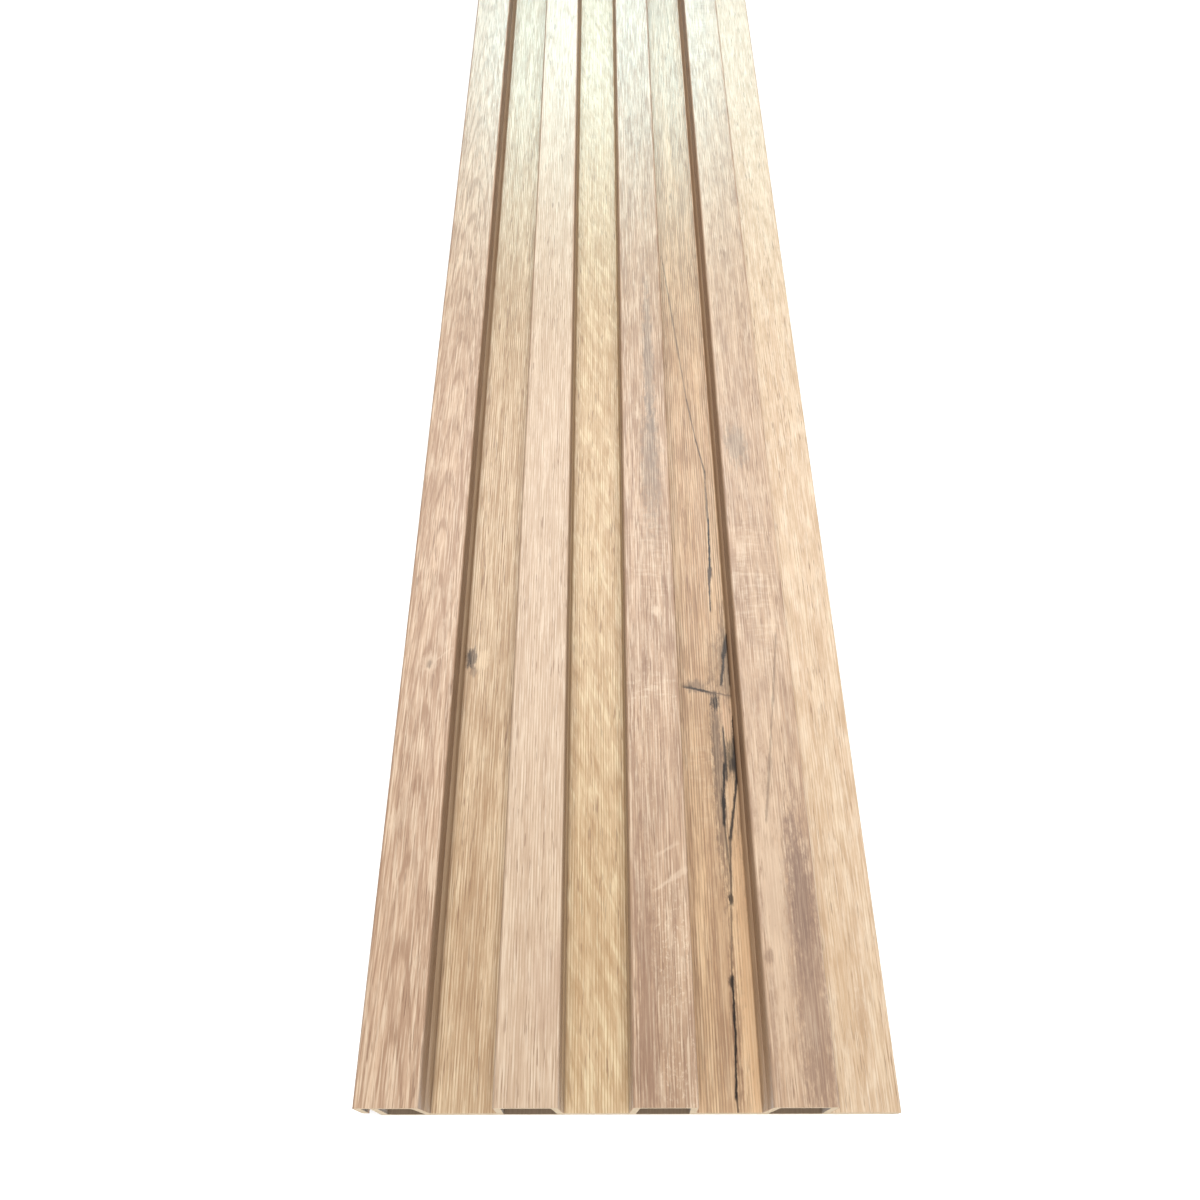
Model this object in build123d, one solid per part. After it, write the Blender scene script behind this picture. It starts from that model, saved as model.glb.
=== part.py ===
from build123d import *
import os

# A fluted wall panel: one hollow extrusion with ribs, flat grooves between them, a low flange along one
# long edge and, under the outer leg of the first rib, a slot that takes the flange of the next panel.
# It lies face up. X runs across the panel, Y along it and Z up, out of the wall.
# The origin is at the middle of the back.

# Driving dimensions, in millimetres
panel_length = 2900.0
total_depth = 24.0  # from the back to the top of the ribs
rib_count = 4
rib_pitch = 39.6
rib_base = 20.2  # across a rib at the groove floor
flange_width = 21.0  # from the foot of the last rib to the edge
floor_thickness = 5.5  # grooves and flange
side_draft = 0.8  # lean of each rib side, from foot to top
top_skin = 2.0  # over the hollows
rib_wall = 2.2  # beside the hollows, measured level
back_skin = 2.0  # behind the hollows
slot_gap = 2.6  # from the short leg to the web behind it
slot_clearance = 0.8  # under the short leg, above a flange slid in below it
crown_radius = 0.9  # long upper corners of the ribs
foot_radius = 0.6  # where a rib side meets the floor
hollow_radius = 1.0  # inside corners of the hollows
edge_radius = 0.8  # upper corner of the flange edge and end of the short leg
back_radius = 0.4  # long corners of the back

# Sizes that follow
panel_width = (rib_count - 1) * rib_pitch + rib_base + flange_width
left_edge = -panel_width / 2
right_edge = panel_width / 2
rib_height = total_depth - floor_thickness
draft_slope = side_draft / rib_height
slot_height = floor_thickness + slot_clearance
slot_radius = min(hollow_radius, 0.4 * slot_gap)
hollow_top = total_depth - top_skin


def rib_foot(index):
    """Left foot of a rib, counted from the slot side."""
    return left_edge + index * rib_pitch


def left_side(index, z):
    """Place of a rib's left side at a height. Below the floor it goes straight on."""
    return rib_foot(index) + draft_slope * (z - floor_thickness)


def right_side(index, z):
    """Place of a rib's right side at a height."""
    return rib_foot(index) + rib_base - draft_slope * (z - floor_thickness)


def face_points():
    """The panel's face from the short leg to the flange edge, with the radius of each corner."""
    points = []
    for index in range(rib_count):
        if index > 0:
            points.append((left_side(index, floor_thickness), floor_thickness, foot_radius))
        points.append((left_side(index, total_depth), total_depth, crown_radius))
        points.append((right_side(index, total_depth), total_depth, crown_radius))
        points.append((right_side(index, floor_thickness), floor_thickness, foot_radius))
    points.append((right_edge, floor_thickness, edge_radius))
    points.append((right_edge, 0, back_radius))
    return points


def slot_points():
    """The slot side, from the back round the web and down the short leg."""
    leg_end_inner = left_side(0, slot_height) + rib_wall
    leg_top_inner = left_side(0, hollow_top) + rib_wall
    web_top = leg_top_inner + slot_gap
    web_foot = left_side(0, 0) + rib_wall + slot_gap
    return [
        (web_foot, 0, back_radius),
        (web_top, hollow_top, slot_radius),
        (leg_top_inner, hollow_top, slot_radius),
        (leg_end_inner, slot_height, back_radius),
        (left_side(0, slot_height), slot_height, edge_radius),
    ]


def rounded_face(corners):
    """A flat face in the section plane from corners of (x, z, radius)."""
    places = [(x, z) for x, z, radius in corners]
    radii = [radius for x, z, radius in corners]
    wire = FilletPolyline(*places, radius=radii, close=True)
    return Plane.XZ * make_face(wire)


def hollow_corners(index):
    """The hollow of one rib. In the first rib it starts behind the web, elsewhere behind the rib side."""
    offset = rib_wall
    if index == 0:
        offset = 2 * rib_wall + slot_gap
    return [
        (left_side(index, back_skin) + offset, back_skin, hollow_radius),
        (right_side(index, back_skin) - rib_wall, back_skin, hollow_radius),
        (right_side(index, hollow_top) - rib_wall, hollow_top, hollow_radius),
        (left_side(index, hollow_top) + offset, hollow_top, hollow_radius),
    ]


def panel_section():
    """The whole section with its hollows."""
    section = rounded_face(slot_points() + face_points())
    for index in range(rib_count):
        section -= rounded_face(hollow_corners(index))
    return section


def wall_panel():
    """The section drawn out to the panel's length, half to each side of the origin."""
    return extrude(panel_section(), amount=panel_length / 2, both=True)


os.makedirs("parts", exist_ok=True)
export_step(wall_panel(), "parts/wall_panel.step")
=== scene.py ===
import math

import bmesh
import bpy
from mathutils import Matrix, Vector


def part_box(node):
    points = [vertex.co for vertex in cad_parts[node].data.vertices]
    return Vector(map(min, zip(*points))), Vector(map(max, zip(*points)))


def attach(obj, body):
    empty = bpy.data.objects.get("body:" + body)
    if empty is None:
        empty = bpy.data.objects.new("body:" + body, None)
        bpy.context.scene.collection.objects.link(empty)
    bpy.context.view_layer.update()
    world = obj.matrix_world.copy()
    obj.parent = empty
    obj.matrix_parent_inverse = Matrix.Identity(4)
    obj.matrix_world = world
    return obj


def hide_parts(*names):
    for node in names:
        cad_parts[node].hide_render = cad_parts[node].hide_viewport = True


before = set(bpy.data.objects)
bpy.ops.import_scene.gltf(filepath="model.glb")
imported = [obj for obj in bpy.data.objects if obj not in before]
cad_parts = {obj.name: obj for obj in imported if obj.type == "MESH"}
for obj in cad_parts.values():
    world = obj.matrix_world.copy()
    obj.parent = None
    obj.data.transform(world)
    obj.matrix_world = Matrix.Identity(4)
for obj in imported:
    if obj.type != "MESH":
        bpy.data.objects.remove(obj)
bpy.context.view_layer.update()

# The panel's section and length, in metres, as in the part's source
cad_low, cad_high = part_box("wall_panel")
panel_length = cad_high[1] - cad_low[1]
total_depth = 0.024
rib_count = 4
rib_pitch = 0.0396
rib_base = 0.0202
flange_width = 0.021
floor_thickness = 0.0055
side_draft = 0.0008
top_skin = 0.002
rib_wall = 0.0022
back_skin = 0.002
slot_gap = 0.0026
slot_clearance = 0.0008
crown_radius = 0.0009
foot_radius = 0.0006
hollow_radius = 0.001
edge_radius = 0.0008
back_radius = 0.0004

# The printed film
film_thickness = 0.0002
film_turn_in = 0.004  # up the inside of the short leg
film_wrap = 0.005  # under the flange

# Sizes that follow
panel_width = (rib_count - 1) * rib_pitch + rib_base + flange_width
left_edge = -panel_width / 2
right_edge = panel_width / 2
near_end = -panel_length / 2
draft_slope = side_draft / (total_depth - floor_thickness)
slot_height = floor_thickness + slot_clearance
slot_radius = min(hollow_radius, 0.4 * slot_gap)
hollow_top = total_depth - top_skin
middle_height = (floor_thickness + total_depth) / 2
rib_top = rib_base - 2 * side_draft
groove_floor = rib_pitch - rib_base

# How finely things are made
corner_steps = 8  # faces round each corner of the section
weld_distance = 1e-6  # metres within which points become one
cut_tolerance = 1e-7
end_facing = 0.5  # a face that looks along the panel more than this is an end

# How a piece is laid out flat for its baked picture
film_columns = 5  # side by side, each a fifth of the panel's length
core_columns = 1
film_ends_share = 0.03  # of the picture's height, for the two ends
core_ends_share = 0.32
seen_share = 0.9  # of a column's width, for the side of a piece that is seen
end_fill = 0.9  # of an end's row that the end takes up
picture_gap = 0.004
core_outline_room = 1.0  # metres, longer than the core's outline


def tone(red, green, blue):
    """A shader colour from the screen values of a paint chart."""
    def linear(value):
        value = value / 255
        return value / 12.92 if value <= 0.04045 else ((value + 0.055) / 1.055) ** 2.4
    return (linear(red), linear(green), linear(blue), 1.0)


# Section of the panel
def left_side(index, height):
    """Place of a rib's left side at a height."""
    return left_edge + index * rib_pitch + draft_slope * (height - floor_thickness)


def right_side(index, height):
    """Place of a rib's right side at a height."""
    return left_edge + index * rib_pitch + rib_base - draft_slope * (height - floor_thickness)


def film_strips():
    """The face as strips of (across, height, radius), each from the middle of one rib side to the next."""
    turn_in = slot_height + film_turn_in
    strips = []
    for index in range(rib_count):
        rib = []
        if index == 0:
            # From inside the slot round the end of the short leg
            rib.append((left_side(0, turn_in) + rib_wall, turn_in, 0))
            rib.append((left_side(0, slot_height) + rib_wall, slot_height, back_radius))
            rib.append((left_side(0, slot_height), slot_height, edge_radius))
        else:
            rib.append((left_side(index, middle_height), middle_height, 0))
        rib.append((left_side(index, total_depth), total_depth, crown_radius))
        rib.append((right_side(index, total_depth), total_depth, crown_radius))
        rib.append((right_side(index, middle_height), middle_height, 0))
        strips.append((f"rib_{index + 1}", rib))
        floor = [
            (right_side(index, middle_height), middle_height, 0),
            (right_side(index, floor_thickness), floor_thickness, foot_radius),
        ]
        if index < rib_count - 1:
            floor.append((left_side(index + 1, floor_thickness), floor_thickness, foot_radius))
            floor.append((left_side(index + 1, middle_height), middle_height, 0))
            strips.append((f"groove_{index + 1}", floor))
        else:
            floor.append((right_edge, floor_thickness, edge_radius))
            floor.append((right_edge, 0, back_radius))
            floor.append((right_edge - film_wrap, 0, 0))
            strips.append(("flange", floor))
    return strips


def inset(line):
    """The same line one film thickness inside the panel."""
    inner = []
    for index, (across, height, radius) in enumerate(line):
        here = Vector((across, height))
        before = (here - Vector(line[index - 1][:2])).normalized() if index > 0 else None
        after = (Vector(line[index + 1][:2]) - here).normalized() if index < len(line) - 1 else None
        before = before or after
        after = after or before
        sides = Vector((before.y, -before.x)), Vector((after.y, -after.x))
        middle = (sides[0] + sides[1]).normalized()
        place = here + middle * film_thickness / middle.dot(sides[0])
        turn = before.x * after.y - before.y * after.x
        change = film_thickness if turn > 0 else -film_thickness
        inner.append((place.x, place.y, max(radius + change, 0) if radius else 0))
    return inner


def core_loops(strips):
    """The core's outline under the film, and its hollows."""
    outline = [
        (left_side(0, 0) + rib_wall + slot_gap, 0, back_radius),
        (left_side(0, hollow_top) + rib_wall + slot_gap, hollow_top, slot_radius),
        (left_side(0, hollow_top) + rib_wall, hollow_top, slot_radius),
    ]
    first_strip, last_strip = strips[0][1], strips[-1][1]
    outline.append(first_strip[0])
    for name, line in strips:
        outline += inset(line)[:-1]
    outline.append(inset(last_strip)[-1])
    outline.append(last_strip[-1])
    loops = [outline]
    for index in range(rib_count):
        offset = 2 * rib_wall + slot_gap if index == 0 else rib_wall
        loops.append([
            (left_side(index, back_skin) + offset, back_skin, hollow_radius),
            (right_side(index, back_skin) - rib_wall, back_skin, hollow_radius),
            (right_side(index, hollow_top) - rib_wall, hollow_top, hollow_radius),
            (left_side(index, hollow_top) + offset, hollow_top, hollow_radius),
        ])
    return loops


# Extruded stock
def stock_tree():
    """Geometry nodes that round a section's corners, draw it out and close both ends."""
    tree = bpy.data.node_groups.new("extruded_stock", "GeometryNodeTree")
    tree.is_modifier = True
    for label, kind in (
        ("Section", "NodeSocketGeometry"),
        ("Length", "NodeSocketFloat"),
        ("Corner Steps", "NodeSocketInt"),
        ("Face Material", "NodeSocketMaterial"),
        ("End Material", "NodeSocketMaterial"),
    ):
        tree.interface.new_socket(label, in_out="INPUT", socket_type=kind)
    tree.interface.new_socket("Stock", in_out="OUTPUT", socket_type="NodeSocketGeometry")
    nodes, link = tree.nodes, tree.links.new
    given = nodes.new("NodeGroupInput")
    result = nodes.new("NodeGroupOutput")

    # The section with its corners rounded
    section = nodes.new("GeometryNodeMeshToCurve")
    link(given.outputs["Section"], section.inputs[0])
    radius = nodes.new("GeometryNodeInputNamedAttribute")
    radius.data_type = "FLOAT"
    radius.inputs["Name"].default_value = "corner_radius"
    rounded = nodes.new("GeometryNodeFilletCurve")
    rounded.mode = "POLY"
    rounded.inputs["Limit Radius"].default_value = False
    link(section.outputs[0], rounded.inputs["Curve"])
    link(given.outputs["Corner Steps"], rounded.inputs["Count"])
    link(radius.outputs["Attribute"], rounded.inputs["Radius"])

    # The walls drawn out, each point keeping its place along the section
    along_section = nodes.new("GeometryNodeSplineParameter")
    measured = nodes.new("GeometryNodeStoreNamedAttribute")
    measured.data_type, measured.domain = "FLOAT", "POINT"
    measured.inputs["Name"].default_value = "section_length"
    link(rounded.outputs[0], measured.inputs["Geometry"])
    link(along_section.outputs["Length"], measured.inputs["Value"])

    outline = nodes.new("GeometryNodeCurveToMesh")
    link(measured.outputs[0], outline.inputs[0])
    joined_outline = nodes.new("GeometryNodeMergeByDistance")
    joined_outline.inputs["Distance"].default_value = weld_distance
    link(outline.outputs[0], joined_outline.inputs["Geometry"])
    offset = nodes.new("ShaderNodeCombineXYZ")
    link(given.outputs["Length"], offset.inputs["Z"])
    walls = nodes.new("GeometryNodeExtrudeMesh")
    walls.mode = "EDGES"
    link(joined_outline.outputs[0], walls.inputs["Mesh"])
    link(offset.outputs[0], walls.inputs["Offset"])
    measure = nodes.new("GeometryNodeInputNamedAttribute")
    measure.data_type = "FLOAT"
    measure.inputs["Name"].default_value = "section_length"
    unrolled = nodes.new("GeometryNodeStoreNamedAttribute")
    unrolled.data_type, unrolled.domain = "FLOAT", "CORNER"
    unrolled.inputs["Name"].default_value = "film_across"
    link(walls.outputs["Mesh"], unrolled.inputs["Geometry"])
    link(measure.outputs["Attribute"], unrolled.inputs["Value"])

    # Both ends closed
    end = nodes.new("GeometryNodeFillCurve")
    link(rounded.outputs[0], end.inputs[0])
    other_end = nodes.new("GeometryNodeTransform")
    link(end.outputs[0], other_end.inputs["Geometry"])
    link(offset.outputs[0], other_end.inputs["Translation"])
    whole = nodes.new("GeometryNodeJoinGeometry")
    for part in (unrolled, end, other_end):
        link(part.outputs[0], whole.inputs[0])
    sealed = nodes.new("GeometryNodeMergeByDistance")
    sealed.inputs["Distance"].default_value = weld_distance
    link(whole.outputs[0], sealed.inputs["Geometry"])

    # Laid along the panel, half to each side of the origin
    half = nodes.new("ShaderNodeMath")
    half.operation = "MULTIPLY"
    half.inputs[1].default_value = 0.5
    link(given.outputs["Length"], half.inputs[0])
    centred = nodes.new("ShaderNodeCombineXYZ")
    link(half.outputs[0], centred.inputs["Y"])
    placed = nodes.new("GeometryNodeTransform")
    placed.inputs["Rotation"].default_value = (math.radians(90), 0, 0)
    link(sealed.outputs[0], placed.inputs["Geometry"])
    link(centred.outputs[0], placed.inputs["Translation"])

    # The material of the face everywhere, then that of the two ends
    normal = nodes.new("GeometryNodeInputNormal")
    parts = nodes.new("ShaderNodeSeparateXYZ")
    link(normal.outputs[0], parts.inputs[0])
    facing = nodes.new("ShaderNodeMath")
    facing.operation = "ABSOLUTE"
    link(parts.outputs["Y"], facing.inputs[0])
    is_end = nodes.new("FunctionNodeCompare")
    is_end.data_type, is_end.operation = "FLOAT", "GREATER_THAN"
    is_end.inputs[1].default_value = end_facing
    link(facing.outputs[0], is_end.inputs[0])
    real = nodes.new("GeometryNodeRealizeInstances")
    link(placed.outputs[0], real.inputs[0])
    faced = nodes.new("GeometryNodeSetMaterial")
    link(real.outputs[0], faced.inputs["Geometry"])
    link(given.outputs["Face Material"], faced.inputs["Material"])
    ended = nodes.new("GeometryNodeSetMaterial")
    link(faced.outputs[0], ended.inputs["Geometry"])
    link(is_end.outputs[0], ended.inputs["Selection"])
    link(given.outputs["End Material"], ended.inputs["Material"])
    link(ended.outputs[0], result.inputs[0])
    return tree


def section_mesh(name, loops):
    """Closed section lines drawn flat, with the radius of each corner."""
    places, edges, radii = [], [], []
    for loop in loops:
        first = len(places)
        places += [(across, height, 0) for across, height, radius in loop]
        radii += [radius for across, height, radius in loop]
        edges += [(first + i, first + (i + 1) % len(loop)) for i in range(len(loop))]
    mesh = bpy.data.meshes.new(name)
    mesh.from_pydata(places, edges, [])
    mesh.attributes.new("corner_radius", "FLOAT", "POINT").data.foreach_set("value", radii)
    return mesh


def cut_and_face_out(mesh, columns):
    """Trims the stock to the panel's ends and height, cuts it between columns and turns its faces outward."""
    work = bmesh.new()
    work.from_mesh(mesh)
    for corner in work.verts:
        corner.co.y = min(max(corner.co.y, near_end), -near_end)
        corner.co.z = min(max(corner.co.z, 0.0), total_depth)
    for index in range(1, columns):
        place = near_end + index * panel_length / columns
        everything = work.verts[:] + work.edges[:] + work.faces[:]
        bmesh.ops.bisect_plane(
            work, geom=everything, dist=cut_tolerance, plane_co=(0, place, 0), plane_no=(0, 1, 0)
        )
    bmesh.ops.recalc_face_normals(work, faces=work.faces[:])
    work.to_mesh(mesh)
    work.free()


def lay_out_bake(mesh, columns, seen_length, ends_share):
    """Lays the stock out flat in side by side columns, with both ends in rows above them."""
    across = mesh.attributes["film_across"].data
    whole_length = max(item.value for item in across)
    hidden_length = max(whole_length - seen_length, weld_distance)
    layer = mesh.uv_layers.new(name="OFBake")
    column_length = panel_length / columns
    inner = 1 - 2 * picture_gap
    for face in mesh.polygons:
        centre = face.center
        is_end = abs(face.normal.y) > end_facing
        end_row = 0 if centre.y < 0 else 1
        column = min(int((centre.y - near_end) / column_length), columns - 1)
        values = [across[corner].value for corner in face.loop_indices]
        # The face where the length along the section starts again
        closing = max(values) - min(values) > 0.5 * whole_length
        for corner in face.loop_indices:
            place = mesh.vertices[mesh.loops[corner].vertex_index].co
            if is_end:
                u = picture_gap + inner * (place.x - left_edge) / panel_width
                rise = picture_gap + end_fill * place.z / total_depth
                v = 1 - ends_share * (1 - end_row / 2) + ends_share / 2 * rise
            else:
                value = across[corner].value
                if closing and value < 0.5 * whole_length:
                    value = whole_length
                if value <= seen_length:
                    share = seen_share * value / seen_length
                else:
                    share = seen_share + (1 - seen_share) * (value - seen_length) / hidden_length
                u = (column + picture_gap + inner * share) / columns
                run = (place.y - near_end - column * column_length) / column_length
                v = (1 - ends_share - 2 * picture_gap) * (picture_gap + inner * run)
            layer.data[corner].uv = (u, v)


def line_length(line):
    """Length of a line with its corners rounded."""
    length = 0
    for index in range(1, len(line)):
        length += (Vector(line[index][:2]) - Vector(line[index - 1][:2])).length
    for index in range(1, len(line) - 1):
        before = Vector(line[index][:2]) - Vector(line[index - 1][:2])
        after = Vector(line[index + 1][:2]) - Vector(line[index][:2])
        turn = before.angle(after)
        length -= line[index][2] * (2 * math.tan(turn / 2) - turn)
    return length


def make_stock(name, tree, loops, face_material, end_material, columns, seen_length, ends_share):
    """One full-length piece from its section, as a plain mesh at the origin."""
    rough = bpy.data.objects.new(name + "_section", section_mesh(name + "_section", loops))
    bpy.context.scene.collection.objects.link(rough)
    modifier = rough.modifiers.new("extruded_stock", "NODES")
    modifier.node_group = tree
    given = {
        "Length": panel_length,
        "Corner Steps": corner_steps,
        "Face Material": face_material,
        "End Material": end_material,
    }
    for item in tree.interface.items_tree:
        if item.in_out == "INPUT" and item.name in given:
            modifier[item.identifier] = given[item.name]
    graph = bpy.context.evaluated_depsgraph_get()
    finished = rough.evaluated_get(graph)
    mesh = bpy.data.meshes.new_from_object(finished, preserve_all_data_layers=True, depsgraph=graph)
    rough.modifiers.remove(modifier)
    bpy.data.objects.remove(rough)
    mesh.name = name
    cut_and_face_out(mesh, columns)
    lay_out_bake(mesh, columns, seen_length, ends_share)
    piece = bpy.data.objects.new(name, mesh)
    bpy.context.scene.collection.objects.link(piece)
    return piece


# Shader building
def feed(tree, socket, value):
    """Gives a socket a number, a colour or a link."""
    if isinstance(value, bpy.types.NodeSocket):
        tree.links.new(value, socket)
    else:
        socket.default_value = value


def calc(tree, operation, *values):
    """One Math node. Each value is a number or a socket."""
    node = tree.nodes.new("ShaderNodeMath")
    node.operation = operation
    for socket, value in zip(node.inputs, values):
        feed(tree, socket, value)
    return node.outputs[0]


def remap(tree, value, low, high, to_low=0.0, to_high=1.0, smooth=True):
    """A value's range brought to another range, clamped."""
    node = tree.nodes.new("ShaderNodeMapRange")
    node.interpolation_type = "SMOOTHSTEP" if smooth else "LINEAR"
    labels = ("Value", "From Min", "From Max", "To Min", "To Max")
    for label, given in zip(labels, (value, low, high, to_low, to_high)):
        feed(tree, node.inputs[label], given)
    return node.outputs["Result"]


def tint(tree, color, other, mask, strength=1.0):
    """A colour mixed with another one as strongly as a mask says."""
    if strength != 1.0:
        mask = calc(tree, "MULTIPLY", mask, strength)
    node = tree.nodes.new("ShaderNodeMix")
    node.data_type = "RGBA"
    tree.links.new(mask, node.inputs["Factor"])
    feed(tree, node.inputs[6], color)
    feed(tree, node.inputs[7], other)
    return node.outputs[2]


def as_place(tree, across, along):
    """A texture place from its two coordinates."""
    joined = tree.nodes.new("ShaderNodeCombineXYZ")
    tree.links.new(across, joined.inputs["X"])
    tree.links.new(along, joined.inputs["Y"])
    node = tree.nodes.new("ShaderNodeMapping")
    tree.links.new(joined.outputs[0], node.inputs["Vector"])
    return node.outputs[0]


def scaled_noise(tree, place, scale, offset, detail, roughness):
    """Noise on a place that is scaled and then moved."""
    scaled = tree.nodes.new("ShaderNodeMapping")
    scaled.inputs["Scale"].default_value = scale
    scaled.inputs["Location"].default_value = offset
    tree.links.new(place, scaled.inputs["Vector"])
    node = tree.nodes.new("ShaderNodeTexNoise")
    node.inputs["Scale"].default_value = 1.0
    node.inputs["Detail"].default_value = detail
    node.inputs["Roughness"].default_value = roughness
    tree.links.new(scaled.outputs[0], node.inputs["Vector"])
    return node.outputs["Fac"]


# Marks of the grain: width and length in millimetres, and the step from the board's seed.
# The last two don't add a board's seed, so they are the same on every board.
grain_marks = {
    "drift": (22.0, 90.0, 0),
    "bands": (3.4, 120.0, 1),
    "clouds": (5.0, 24.0, 2),
    "streaks": (1.0, 38.0, 3),
    "ticks": (0.48, 15.0, 4),
    "pores": (0.4, 9.0, 5),
    "pore_fields": (3.0, 50.0, 6),
    "arch_shake": (7.0, 45.0, 7),
    "emboss": (0.7, 0.9, 8),
    "pinstripe_wear": (2.4, 45.0, 9),
    "mottle": (4.2, 13.0, 10),
    "slants": (2.6, 15.0, 11),
    "curls": (1.7, 2.4, 12),
    "ripples": (7.0, 1.7, 13),
    "curl_breaks": (1.3, 1.6, 14),
    "unevenness": (1.2, 3.4, 5.3),
    "swelling": (9.0, 13.0, 8.7),
}


def grain_noise(tree, place, mark, seed, detail=3.0, roughness=0.55):
    """Noise whose marks have the size of the named ones."""
    width, length, step = grain_marks[mark]
    return scaled_noise(tree, place, (1 / width, 1 / length, 1), (0, 0, seed + step), detail, roughness)


def mark_group(name, labels, build):
    """A node group that turns a place on the film into the strength of one printed mark."""
    tree = bpy.data.node_groups.new(name, "ShaderNodeTree")
    for label in labels:
        tree.interface.new_socket(label, in_out="INPUT", socket_type="NodeSocketFloat")
    tree.interface.new_socket("Mark", in_out="OUTPUT", socket_type="NodeSocketFloat")
    given = tree.nodes.new("NodeGroupInput")
    result = tree.nodes.new("NodeGroupOutput")
    tree.links.new(build(tree, given.outputs), result.inputs[0])
    return tree


# Printed marks. Fades are in millimetres, the patch's in shares of its size.
crack_raggedness = 1.3
crack_fade = 0.25
crack_end_fade = (-1.5, 0.5)  # before and after its first and last point
patch_raggedness = 1.1
patch_fade = (0.6, 0.2)  # from no tone to its full tone


def build_crack(tree, given):
    """A ragged line from a start to an end along the board."""
    centre = remap(tree, given["Along"], given["Start Along"], given["End Along"],
                   given["Start Across"], given["End Across"], smooth=False)
    off = calc(tree, "SUBTRACT", given["Across"], centre)
    wander = calc(tree, "MULTIPLY", given["Width"], crack_raggedness)
    off = calc(tree, "MULTIPLY_ADD", given["Unevenness"], wander, off)
    half = calc(tree, "MULTIPLY", calc(tree, "MULTIPLY", given["Width"], 0.5), given["Swelling"])
    line = remap(tree, calc(tree, "ABSOLUTE", off), calc(tree, "MULTIPLY_ADD", half, 1.2, crack_fade),
                 calc(tree, "MULTIPLY", half, 0.4))
    enter = remap(tree, calc(tree, "SUBTRACT", given["Along"], given["Start Along"]), *crack_end_fade)
    leave = remap(tree, calc(tree, "SUBTRACT", given["End Along"], given["Along"]), *crack_end_fade)
    return calc(tree, "MULTIPLY", line, calc(tree, "MULTIPLY", enter, leave))


def build_patch(tree, given):
    """A patch with a soft, ragged border."""
    side = calc(tree, "SUBTRACT", given["Across"], given["Centre Across"])
    side = calc(tree, "DIVIDE", side, given["Width"])
    run = calc(tree, "SUBTRACT", given["Along"], given["Centre Along"])
    run = calc(tree, "DIVIDE", run, given["Length"])
    square = calc(tree, "ADD", calc(tree, "MULTIPLY", side, side), calc(tree, "MULTIPLY", run, run))
    away = calc(tree, "MULTIPLY_ADD", given["Unevenness"], patch_raggedness, calc(tree, "SQRT", square))
    return remap(tree, away, *patch_fade)


def add_mark(tree, group, ground, *values):
    """One printed mark of the board. Its values are in millimetres and in the order of the group's inputs."""
    node = tree.nodes.new("ShaderNodeGroup")
    node.node_tree = group
    for label in ground_labels:
        tree.links.new(ground[label], node.inputs[label])
    for socket, value in zip(list(node.inputs)[len(ground_labels):], values):
        socket.default_value = value
    return node.outputs["Mark"]


ground_labels = ("Across", "Along", "Unevenness", "Swelling")
crack_marks = mark_group(
    "crack_mark",
    ground_labels + ("Start Across", "Start Along", "End Across", "End Along", "Width"),
    build_crack,
)
patch_marks = mark_group(
    "patch_mark",
    ground_labels + ("Centre Across", "Centre Along", "Width", "Length"),
    build_patch,
)


def new_material(name):
    """An empty material with its shader."""
    material = bpy.data.materials.new(name)
    material.use_nodes = True
    tree = material.node_tree
    return material, tree, tree.nodes["Principled BSDF"]


def add_relief(tree, shader, height, strength, depth):
    """Fine relief from a height between 0 and 1."""
    bump = tree.nodes.new("ShaderNodeBump")
    bump.inputs["Strength"].default_value = strength
    bump.inputs["Distance"].default_value = depth
    tree.links.new(height, bump.inputs["Height"])
    tree.links.new(bump.outputs[0], shader.inputs["Normal"])


def film_place(tree, face_start):
    """The place on a board, in millimetres from the left edge of its face and from the near end.

    Both coordinates are read back from the joined place, so that a long shader holds fewer values at once.
    """
    unrolled = tree.nodes.new("ShaderNodeAttribute")
    unrolled.attribute_name = "film_across"
    coordinates = tree.nodes.new("ShaderNodeTexCoord")
    parts = tree.nodes.new("ShaderNodeSeparateXYZ")
    tree.links.new(coordinates.outputs["Object"], parts.inputs[0])
    across = calc(tree, "MULTIPLY_ADD", unrolled.outputs["Fac"], 1000, -1000 * face_start)
    along = calc(tree, "MULTIPLY_ADD", parts.outputs["Y"], 1000, -1000 * near_end)
    place = as_place(tree, across, along)
    settled = tree.nodes.new("ShaderNodeSeparateXYZ")
    tree.links.new(place, settled.inputs[0])
    return place, settled.outputs["X"], settled.outputs["Y"]


def wood_tone(tree, place, board):
    """The board's own colour: broad bands, clouds and streaks along the grain."""
    seed = board["seed"]
    bands = remap(tree, grain_noise(tree, place, "bands", seed, detail=4), 0.36, 0.64)
    color = tint(tree, board["dark"], board["light"], bands)
    clouds = remap(tree, grain_noise(tree, place, "clouds", seed), 0.46, 0.68)
    color = tint(tree, color, board["streak"], clouds, board["clouds"])
    streaks = remap(tree, grain_noise(tree, place, "streaks", seed), 0.48, 0.70)
    return tint(tree, color, board["streak"], streaks, board["streaks"])


def cathedral_arches(tree, color, bent, along, flat_place, board):
    """Nested arches of grain, point towards the far end."""
    middle, top, spread, pitch = board["arch_shape"]
    side = calc(tree, "SUBTRACT", bent, middle)
    rise = calc(tree, "MULTIPLY", calc(tree, "MULTIPLY", side, side), spread)
    shake = grain_noise(tree, flat_place, "arch_shake", board["seed"], detail=3)
    field = calc(tree, "ADD", rise, calc(tree, "SUBTRACT", along, top))
    field = calc(tree, "MULTIPLY_ADD", shake, 0.6 * pitch, field)
    ring = calc(tree, "SINE", calc(tree, "MULTIPLY", field, 2 * math.pi / pitch))
    return tint(tree, color, board["streak"], remap(tree, ring, 0.4, 1.0), board["arches"])


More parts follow.
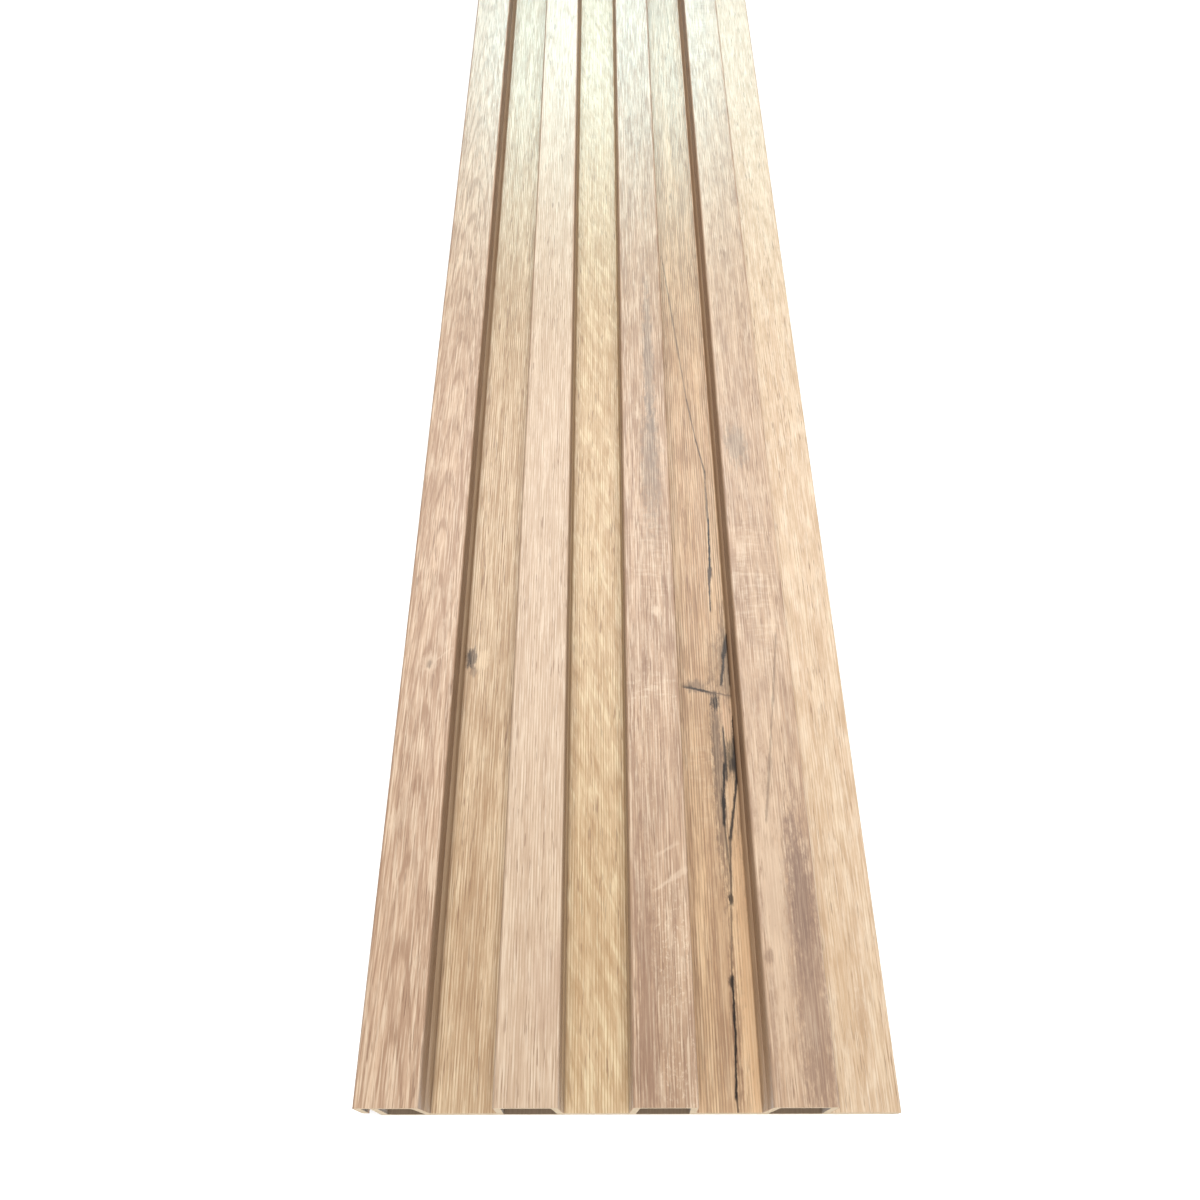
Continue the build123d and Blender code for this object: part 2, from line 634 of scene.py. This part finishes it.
def slanting_waves(tree, color, ground, board):
    """Pale and dark waves that slant across the board."""
    slant = calc(tree, "MULTIPLY_ADD", ground["Along"], board["slope"], ground["Across"])
    waves = grain_noise(tree, as_place(tree, slant, ground["Along"]), "slants", board["seed"])
    color = tint(tree, color, board["pale"], remap(tree, waves, 0.50, 0.66), board["slants"])
    return tint(tree, color, board["streak"], remap(tree, waves, 0.46, 0.32), board["slants"])


def in_zones(tree, color, ground, pattern, zones, board):
    """A pale pattern shown only in the board's zones for it."""
    for *shape, strength in zones:
        zone = add_mark(tree, patch_marks, ground, *shape)
        color = tint(tree, color, board["pale"], calc(tree, "MULTIPLY", pattern, zone), strength)
    return color


def figure(tree, color, place, ground, board):
    """The figure over the grain: slanting waves on some boards, and pale curls or ripples in their zones."""
    seed = board["seed"]
    if board["slants"] > 0:
        color = slanting_waves(tree, color, ground, board)
    if board["curls"]:
        field = grain_noise(tree, place, "curls", seed, detail=3)
        line = remap(tree, calc(tree, "ABSOLUTE", calc(tree, "SUBTRACT", field, 0.5)), 0.07, 0.0)
        breaks = remap(tree, grain_noise(tree, place, "curl_breaks", seed), 0.42, 0.6)
        line = calc(tree, "MULTIPLY", line, breaks)
        color = in_zones(tree, color, ground, line, board["curls"], board)
    if board["ripples"]:
        wave = remap(tree, grain_noise(tree, place, "ripples", seed, detail=2), 0.47, 0.64)
        color = in_zones(tree, color, ground, wave, board["ripples"], board)
    return color


def mottle(tree, color, place, board):
    """Cloudy marks among the grain, paler and darker than the board."""
    noise = grain_noise(tree, place, "mottle", board["seed"], detail=4, roughness=0.6)
    color = tint(tree, color, board["pale"], remap(tree, noise, 0.50, 0.68), board["mottle"])
    return tint(tree, color, board["streak"], remap(tree, noise, 0.50, 0.34), board["mottle"])


def pinstripe(tree, color, place, across, board):
    """Fine lines along the board, worn away in places."""
    lines = calc(tree, "SINE", calc(tree, "MULTIPLY", across, 2 * math.pi / pinstripe_pitch))
    lines = remap(tree, lines, -0.1, 0.8)
    worn = remap(tree, grain_noise(tree, place, "pinstripe_wear", board["seed"]), 0.34, 0.58, 0.15)
    return tint(tree, color, board["streak"], calc(tree, "MULTIPLY", lines, worn), board["pinstripe"])


def printed_marks(tree, color, ground, fibres, board):
    """Patches with the fibres showing through, then cracks."""
    for *shape, strength, shade in board["patches"]:
        patch = calc(tree, "MULTIPLY", add_mark(tree, patch_marks, ground, *shape), fibres)
        color = tint(tree, color, shade, patch, strength)
    for *shape, strength, shade in board["cracks"]:
        color = tint(tree, color, shade, add_mark(tree, crack_marks, ground, *shape), strength)
    return color


def paint_side_shade(tree, color, across, face_width, board):
    """Painted shade: a darker tone on the rib sides, and a fine dark line where the film turns a corner."""
    left = remap(tree, across, face_shade_blend, -side_shade_blend)
    right = remap(tree, across, face_width - face_shade_blend, face_width + side_shade_blend)
    color = tint(tree, color, board["side"], calc(tree, "MAXIMUM", left, right), board["side_shade_share"])
    # Painted shade: a dark line at each corner, in the pore tone
    for edge in (0.0, face_width):
        away = calc(tree, "ABSOLUTE", calc(tree, "SUBTRACT", across, edge))
        line = remap(tree, away, *corner_shade_reach)
        color = tint(tree, color, board["pore"], line, board["corner_shade"])
    return color


def oak_board(name, board, face_start, face_width):
    """The printed film on one strip: an old oak board with its grain, figure, pores and marks."""
    material, tree, shader = new_material(name)
    seed = board["seed"]
    flat_place, across, along = film_place(tree, face_start)
    drift = calc(tree, "SUBTRACT", grain_noise(tree, flat_place, "drift", seed), 0.5)
    bent = calc(tree, "MULTIPLY_ADD", drift, board["waviness"], across)
    place = as_place(tree, bent, along)
    ground = {
        "Across": across,
        "Along": calc(tree, "WRAP", along, print_repeat - print_lead, -print_lead),
        "Unevenness": calc(tree, "SUBTRACT", grain_noise(tree, flat_place, "unevenness", 0, 4, 0.7), 0.5),
        "Swelling": remap(tree, grain_noise(tree, flat_place, "swelling", 0), 0.35, 0.65, 0.55, 1.3),
    }

    color = wood_tone(tree, place, board)
    if board["arches"] > 0:
        color = cathedral_arches(tree, color, bent, along, flat_place, board)
    color = figure(tree, color, flat_place, ground, board)
    color = mottle(tree, color, flat_place, board)
    ticks = grain_noise(tree, flat_place, "ticks", seed, detail=3, roughness=0.6)
    pale_ticks = remap(tree, ticks, 0.52, 0.61)
    dark_ticks = remap(tree, ticks, 0.48, 0.39)
    color = tint(tree, color, board["pale"], pale_ticks, board["ticks"])
    color = tint(tree, color, board["streak"], dark_ticks, board["ticks"])
    color = pinstripe(tree, color, flat_place, across, board)
    pores = remap(tree, grain_noise(tree, flat_place, "pores", seed, detail=1), 0.59, 0.66)
    pore_fields = remap(tree, grain_noise(tree, place, "pore_fields", seed), 0.4, 0.6)
    pores = calc(tree, "MULTIPLY", pores, pore_fields)
    color = tint(tree, color, board["pore"], pores, board["pores"])
    color = printed_marks(tree, color, ground, remap(tree, ticks, 0.42, 0.56, 1.0, 0.72), board)
    # Painted shade on the rib sides and at their corners
    color = paint_side_shade(tree, color, across, 1000 * face_width, board)
    tree.links.new(color, shader.inputs["Base Color"])

    emboss = grain_noise(tree, flat_place, "emboss", seed, detail=2)
    rough = calc(tree, "MULTIPLY_ADD", emboss, emboss_roughness, film_roughness - emboss_roughness / 2)
    rough = calc(tree, "MULTIPLY_ADD", dark_ticks, tick_roughness, rough)
    tree.links.new(rough, shader.inputs["Roughness"])
    height = calc(tree, "MULTIPLY", dark_ticks, -tick_depth)
    height = calc(tree, "MULTIPLY_ADD", emboss, emboss_height, height)
    height = calc(tree, "MULTIPLY_ADD", pores, -pore_depth, height)
    add_relief(tree, shader, height, 0.5, film_relief)
    return material


def core_speckle(tree, place, per_millimetre, seed, detail=2.0):
    """Noise for the core, so many marks to a millimetre in each direction."""
    scale = [1000 * count for count in per_millimetre]
    return scaled_noise(tree, place, scale, (seed, seed, seed), detail, 0.5)


def extruded_core(name, light, dark):
    """The core as it leaves the die: fine lines along it, a few fibres and cloudy tones."""
    material, tree, shader = new_material(name)
    place = tree.nodes.new("ShaderNodeTexCoord").outputs["Object"]
    die_lines = remap(tree, core_speckle(tree, place, (1.5, 0.004, 1.5), 2.0, detail=4), 0.35, 0.65)
    fibres = remap(tree, core_speckle(tree, place, (3.0, 0.8, 3.0), 6.0), 0.60, 0.72)
    clouds = remap(tree, core_speckle(tree, place, (0.05, 0.02, 0.05), 9.0), 0.3, 0.7)
    color = tint(tree, light, dark, die_lines, 0.4)
    color = tint(tree, color, dark, fibres, 0.45)
    color = tint(tree, color, dark, clouds, 0.3)
    tree.links.new(color, shader.inputs["Base Color"])
    tree.links.new(remap(tree, die_lines, 0.0, 1.0, 0.45, 0.62), shader.inputs["Roughness"])
    add_relief(tree, shader, calc(tree, "MULTIPLY_ADD", fibres, -0.3, die_lines), 0.5, core_relief)
    return material


def saw_cut(name, light, dark):
    """The core or the film's edge where the panel is cut: small cells and fine saw lines."""
    material, tree, shader = new_material(name)
    place = tree.nodes.new("ShaderNodeTexCoord").outputs["Object"]
    cells = remap(tree, core_speckle(tree, place, (2.6, 2.6, 2.6), 1.0), 0.52, 0.68)
    saw_lines = remap(tree, core_speckle(tree, place, (0.5, 1.0, 5.5), 4.0), 0.4, 0.62)
    color = tint(tree, light, dark, cells, 0.55)
    color = tint(tree, color, dark, saw_lines, 0.3)
    tree.links.new(color, shader.inputs["Base Color"])
    shader.inputs["Roughness"].default_value = saw_cut_roughness
    height = calc(tree, "MULTIPLY", saw_lines, 0.4)
    height = calc(tree, "MULTIPLY_ADD", cells, -1.0, height)
    add_relief(tree, shader, height, 0.6, core_relief)
    return material


# Surfaces
film_roughness = 0.45
emboss_roughness = 0.22  # from the smoothest to the roughest spot of the embossed film
tick_roughness = 0.08  # more on the dark ticks
saw_cut_roughness = 0.85
film_relief = 0.00006  # metres
emboss_height = 0.9  # of the film's relief, as are the two depths
tick_depth = 0.45
pore_depth = 0.6
core_relief = 0.0001  # metres
print_repeat = 1250.0  # millimetres after which the film's marks come again
print_lead = 60.0  # millimetres of print in front of the near end
pinstripe_pitch = 0.9  # millimetres from one fine line to the next
face_shade_blend = 0.2  # millimetres of the face where the painted shade of the sides begins
side_shade_blend = 0.4  # millimetres past the corner where it is full
corner_shade_reach = (0.5, 0.1)  # millimetres from a corner where its painted line of shade ends and where it is full

# Tones of the film
crack_tone = tone(40, 31, 25)
knot_tone = tone(70, 55, 42)
smoke_tone = tone(112, 92, 74)
# Painted shade: the rib sides are darker where less light falls on them, and darker still towards the foot of
# the grooves
side_shade_tone = tone(140, 111, 86)
foot_shade_tone = tone(124, 98, 76)
cream_tone = tone(227, 204, 178)

# What a board has unless it says otherwise. Waviness is in millimetres, and the slope of the slanting waves
# in millimetres across for each one along. The other numbers are strengths.
usual_board = {
    "pale": tone(229, 208, 181),
    "pore": tone(121, 90, 69),
    "waviness": 3.0,
    "clouds": 0.3,
    "streaks": 0.4,
    "mottle": 0.25,
    "ticks": 0.45,
    "pinstripe": 0.75,
    "pores": 0.55,
    "arches": 0.0,
    "slants": 0.0,
    "slope": 0.0,
    "curls": (),
    "ripples": (),
    "patches": (),
    "cracks": (),
    # Painted shade: how strongly the sides take their darker tone, and how dark the line at each corner is
    "side_shade_share": 0.62,
    "corner_shade": 0.2,
}

# The boards. A place is in millimetres across the face and from the near end.
# Arch shape: middle across, tip along, rise for the square of the distance from the middle, pitch.
# Curl or ripple: centre across, centre along, width, length, strength.
# Patch: centre across, centre along, width, length, strength, tone.
# Crack: start across, start along, end across, end along, width, strength, tone.
boards = {
    "rib_1": {
        "seed": 11.3,
        "light": tone(204, 174, 146), "dark": tone(185, 154, 128), "streak": tone(155, 122, 97),
        "arches": 0.65, "arch_shape": (9.5, 72.0, 1.0, 26.0), "streaks": 0.35, "pinstripe": 0.35,
        "patches": ((9.3, 141.0, 6.0, 10.0, 0.35, cream_tone),
                    (9.3, 141.0, 2.2, 4.0, 0.75, smoke_tone)),
        "cracks": ((11.0, 142.0, 16.5, 147.0, 1.6, 0.2, cream_tone),),
    },
    "groove_1": {
        "seed": 23.7,
        "light": tone(212, 187, 155), "dark": tone(194, 167, 134), "streak": tone(163, 130, 97),
        "pale": tone(235, 217, 185), "streaks": 0.45,
        "patches": ((8.4, 50.0, 9.0, 130.0, 0.35, tone(176, 145, 114)),
                    (6.0, 152.0, 6.5, 10.0, 0.5, tone(231, 207, 173)),
                    (1.9, 153.0, 5.4, 10.0, 1.0, knot_tone),
                    (3.0, 147.0, 3.0, 5.0, 0.6, smoke_tone)),
    },
    "rib_2": {
        "seed": 31.9,
        "light": tone(209, 185, 159), "dark": tone(197, 171, 145), "streak": tone(175, 147, 121),
        "pale": tone(225, 207, 184), "streaks": 0.3, "clouds": 0.2,
        "patches": ((14.0, 32.8, 13.0, 34.0, 0.4, tone(177, 147, 125)),),
    },
    "groove_2": {
        "seed": 47.1,
        "light": tone(214, 189, 153), "dark": tone(199, 171, 136), "streak": tone(176, 144, 106),
        "pale": tone(232, 215, 178), "slants": 0.6, "slope": 0.3, "streaks": 0.3,
    },
    "rib_3": {
        "seed": 53.3,
        "light": tone(196, 165, 137), "dark": tone(180, 149, 121), "streak": tone(147, 117, 96),
        "clouds": 0.4, "streaks": 0.45, "pinstripe": 0.5,
        "curls": ((12.0, 42.0, 16.0, 46.0, 0.6),
                  (12.5, 8.0, 14.0, 26.0, 0.5),
                  (9.0, 118.0, 22.0, 90.0, 0.22),
                  (9.0, 700.0, 20.0, 260.0, 0.3)),
        "ripples": ((9.0, 131.0, 20.0, 14.0, 0.5), (9.0, 185.0, 18.0, 60.0, 0.25)),
        "patches": ((4.4, 28.0, 7.0, 120.0, 0.6, tone(140, 109, 89)),
                    (11.0, 232.0, 9.0, 80.0, 0.5, tone(127, 113, 100)),
                    (11.5, 285.0, 5.0, 120.0, 0.5, tone(121, 111, 102)),
                    (11.1, 162.5, 3.0, 5.0, 0.6, cream_tone)),
        "cracks": ((8.0, 61.0, 18.0, 67.5, 3.0, 0.35, cream_tone),
                   (9.0, 72.0, 15.0, 75.5, 2.6, 0.25, cream_tone)),
    },
    "groove_3": {
        "seed": 61.7,
        "light": tone(216, 184, 146), "dark": tone(197, 162, 127), "streak": tone(151, 120, 93),
        "pale": tone(225, 200, 166), "ripples": ((8.0, 108.0, 14.0, 50.0, 0.3),),
        "patches": ((10.5, 50.0, 7.0, 130.0, 0.45, tone(158, 126, 100)),
                    (13.0, 102.0, 5.4, 90.0, 0.8, tone(126, 103, 84)),
                    (12.4, 118.0, 3.6, 40.0, 0.6, smoke_tone),
                    (17.6, 42.0, 5.6, 120.0, 0.6, tone(222, 184, 142)),
                    (17.4, 128.0, 4.6, 22.0, 0.5, tone(206, 166, 134)),
                    (18.2, 150.0, 9.0, 38.0, 0.75, tone(122, 100, 78)),
                    (14.0, 150.0, 7.0, 30.0, 0.5, tone(150, 122, 94)),
                    (6.4, 140.6, 9.0, 6.0, 0.8, smoke_tone),
                    (13.0, 134.4, 3.4, 7.4, 1.0, crack_tone),
                    (12.9, 22.0, 3.0, 50.0, 0.6, tone(122, 92, 70)),
                    (17.6, 112.0, 5.2, 17.0, 0.85, tone(100, 85, 64)),
                    (17.9, 110.0, 2.6, 6.0, 0.85, crack_tone),
                    (13.7, 95.5, 1.8, 10.0, 1.0, crack_tone),
                    (14.0, 62.3, 1.8, 6.0, 0.95, crack_tone),
                    (12.6, 37.0, 2.0, 5.0, 1.0, crack_tone)),
        "cracks": ((12.4, 137.8, 3.4, 140.2, 4.0, 0.9, crack_tone),
                   (19.5, 136.4, 12.4, 138.0, 4.0, 0.7, smoke_tone),
                   (9.5, 281.0, 2.0, 370.0, 0.5, 0.5, crack_tone),
                   (12.4, 258.0, 9.5, 281.0, 0.5, 0.6, crack_tone),
                   (15.2, 241.0, 12.4, 258.0, 0.5, 0.7, crack_tone),
                   (15.2, 216.0, 15.2, 241.0, 0.6, 0.7, crack_tone),
                   (14.7, 192.0, 15.3, 216.0, 0.7, 1.0, crack_tone),
                   (13.9, 181.0, 14.6, 192.0, 1.3, 0.95, knot_tone),
                   (13.8, 173.0, 13.9, 181.0, 0.5, 0.9, crack_tone),
                   (15.9, 141.0, 17.4, 152.7, 1.4, 0.9, crack_tone),
                   (17.4, 152.7, 19.6, 162.0, 1.6, 0.9, crack_tone),
                   (19.2, 141.0, 19.4, 158.0, 1.0, 0.85, knot_tone),
                   (15.5, 104.0, 15.4, 124.0, 0.7, 0.85, crack_tone),
                   (13.5, 88.0, 14.9, 110.0, 0.8, 1.0, crack_tone),
                   (14.4, 72.0, 13.6, 89.0, 0.4, 0.6, crack_tone),
                   (19.1, 103.0, 19.4, 128.0, 1.5, 0.95, crack_tone),
                   (15.4, 83.0, 19.1, 105.0, 0.9, 0.95, crack_tone),
                   (14.2, 62.0, 15.3, 83.0, 0.5, 0.8, knot_tone),
                   (12.8, 39.0, 14.0, 60.0, 0.4, 0.55, knot_tone),
                   (12.6, 20.0, 12.8, 38.0, 0.8, 1.0, crack_tone),
                   (11.6, 4.0, 12.6, 20.0, 0.8, 1.0, crack_tone),
                   (12.1, -3.0, 11.7, 5.0, 0.5, 0.7, crack_tone)),
    },
    "rib_4": {
        "seed": 71.9,
        "light": tone(203, 174, 145), "dark": tone(186, 155, 127), "streak": tone(146, 117, 98),
        "clouds": 0.35, "pinstripe": 0.3, "ticks": 0.35,
        "ripples": ((8.0, 172.0, 20.0, 80.0, 0.28),
                    (8.0, 620.0, 20.0, 300.0, 0.2)),
        "curls": ((12.0, 66.0, 8.0, 14.0, 0.4),),
        "patches": ((13.6, 38.0, 12.0, 120.0, 0.75, tone(142, 115, 98)),
                    (13.0, 60.0, 8.0, 50.0, 0.6, tone(126, 101, 87)),
                    (4.6, 62.0, 9.0, 110.0, 0.6, tone(209, 183, 156)),
                    (1.8, 40.6, 3.4, 6.0, 0.6, tone(128, 99, 80)),
                    (6.3, 240.0, 10.0, 24.0, 0.55, tone(128, 117, 105))),
        "cracks": ((4.7, 83.0, 10.8, 126.0, 0.7, 0.5, smoke_tone),
                   (10.8, 126.0, 14.2, 152.0, 0.6, 0.5, smoke_tone)),
    },
    "flange": {
        "seed": 83.1,
        "light": tone(219, 195, 165), "dark": tone(207, 179, 149), "streak": tone(185, 155, 123),
        "pale": tone(232, 215, 191), "slants": 0.25, "slope": -0.1,
        "mottle": 0.45, "pinstripe": 0.35,
        "patches": ((8.7, 36.0, 9.0, 60.0, 0.45, tone(193, 161, 126)),
                    (12.4, 28.5, 4.5, 14.0, 0.45, tone(178, 145, 113)),
                    (8.0, 95.0, 8.0, 30.0, 0.3, tone(193, 161, 126))),
    },
}


def strip_face(name, line):
    """Where a strip's board starts along its section, how wide it is, and the painted shade tone of the sides
    beside it.
    """
    half_side = (total_depth - middle_height) * math.hypot(1, draft_slope)
    if name == "flange":
        return half_side, flange_width, foot_shade_tone
    if name.startswith("groove"):
        return half_side, groove_floor, foot_shade_tone
    if name == "rib_1":
        # Its film starts inside the slot and comes up the outer leg
        return line_length(line[:4]), rib_top, side_shade_tone
    return half_side, rib_top, side_shade_tone


def make_panel():
    """The film in full-length strips and the core under it."""
    tree = stock_tree()
    film_edge = saw_cut("film_edge", tone(186, 150, 118), tone(150, 116, 90))
    # The core's faces are darker than its cut ends: partly the core's own colour, partly painted shade so
    # that the hollows look dark
    shaded_core_face = extruded_core("extruded_core", tone(122, 103, 83), tone(95, 79, 62))
    core_end = saw_cut("saw_cut_core", tone(206, 186, 156), tone(168, 144, 114))
    strips = film_strips()
    made = []
    for name, line in strips:
        face_start, face_width, side = strip_face(name, line)
        # The sides get a painted shade tone
        look = {**usual_board, "side": side, **boards[name]}
        board = oak_board("oak_film_" + name, look, face_start, face_width)
        loop = line + list(reversed(inset(line)))
        made.append(make_stock("film_" + name, tree, [loop], board, film_edge, film_columns,
                               line_length(line), film_ends_share))
    made.append(make_stock("panel_core", tree, core_loops(strips), shaded_core_face, core_end, core_columns,
                           core_outline_room, core_ends_share))
    for piece in made:
        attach(piece, "root")
        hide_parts("wall_panel")


# Studio
def add_floor():
    """A plain pale floor just under the panel."""
    mesh = bpy.data.meshes.new("studio_floor")
    half, height = 6.0, -0.0001
    corners = [(-half, -half, height), (half, -half, height), (half, half, height), (-half, half, height)]
    mesh.from_pydata(corners, [], [(0, 1, 2, 3)])
    floor = bpy.data.objects.new("studio_floor", mesh)
    material, tree, shader = new_material("pale_floor")
    shader.inputs["Base Color"].default_value = (0.93, 0.93, 0.93, 1)
    shader.inputs["Roughness"].default_value = 0.7
    mesh.materials.append(material)
    bpy.context.scene.collection.objects.link(floor)


def add_light(name, place, aim, size, power, color=(1, 1, 1), diffuse=True, glossy=True):
    """A soft rectangular light that isn't seen itself.

    Without diffuse it shows only in reflections, and without glossy it makes none.
    """
    light = bpy.data.lights.new(name, "AREA")
    light.shape, light.size, light.size_y = "RECTANGLE", size[0], size[1]
    light.energy, light.color = power, color
    lamp = bpy.data.objects.new(name, light)
    lamp.location = place
    lamp.rotation_euler = (Vector(aim) - Vector(place)).to_track_quat("-Z", "Y").to_euler()
    lamp.visible_camera = False
    lamp.visible_diffuse, lamp.visible_glossy = diffuse, glossy
    bpy.context.scene.collection.objects.link(lamp)


def add_studio():
    """Floor, lights and a pale surround. Two lights give the sheen of the photograph's far part."""
    add_floor()
    add_light("near_light", (0.0, -1.8, 1.2), (0.0, -1.6, 0.0), (0.6, 1.4), 19.2)
    add_light("middle_light", (0.0, 0.6, 1.6), (0.0, 0.6, 0.0), (0.6, 2.0), 11, glossy=False)
    add_light("far_light", (0.0, 1.9, 1.3), (0.0, 1.5, 0.0), (0.6, 1.2), 12, glossy=False)
    add_light("far_sheen", (0.0, 4.5, 4.3), (0.0, -0.9, 0.0), (2.6, 3.2), 540,
              color=(0.58, 0.94, 0.95), diffuse=False)
    add_light("upper_sheen", (0.0, 2.2, 6.2), (0.0, -1.1, 0.0), (2.6, 3.0), 250,
              color=(0.5, 0.95, 0.95), diffuse=False)
    world = bpy.data.worlds.new("pale_surround")
    world.use_nodes = True
    background = world.node_tree.nodes["Background"]
    background.inputs["Color"].default_value = (1.0, 1.0, 1.0, 1)
    background.inputs["Strength"].default_value = 0.5
    bpy.context.scene.world = world
    bpy.context.scene.view_settings.view_transform = "Standard"


def add_camera():
    """The photograph's view: steeply down on the near end, a little turned and tilted."""
    place = Vector((-0.00567, near_end - 0.0233, 0.33807))
    turn, down, tilt = math.radians(-1.01), math.radians(58.8), math.radians(-1.259)
    ahead = Vector((math.sin(turn) * math.cos(down), math.cos(turn) * math.cos(down), -math.sin(down)))
    right = Vector((math.cos(turn), -math.sin(turn), 0))
    up = right.cross(ahead)
    tilted_right = math.cos(tilt) * right + math.sin(tilt) * up
    tilted_up = math.cos(tilt) * up - math.sin(tilt) * right
    matrix = Matrix((tilted_right, tilted_up, -ahead)).transposed().to_4x4()
    matrix.translation = place
    lens = bpy.data.cameras.new("photo_camera")
    lens.sensor_width, lens.lens = 36.0, 29.97
    lens.clip_start, lens.clip_end = 0.01, 50
    camera = bpy.data.objects.new("photo_camera", lens)
    camera.matrix_world = matrix
    bpy.context.scene.collection.objects.link(camera)
    bpy.context.scene.camera = camera


make_panel()
add_studio()
add_camera()
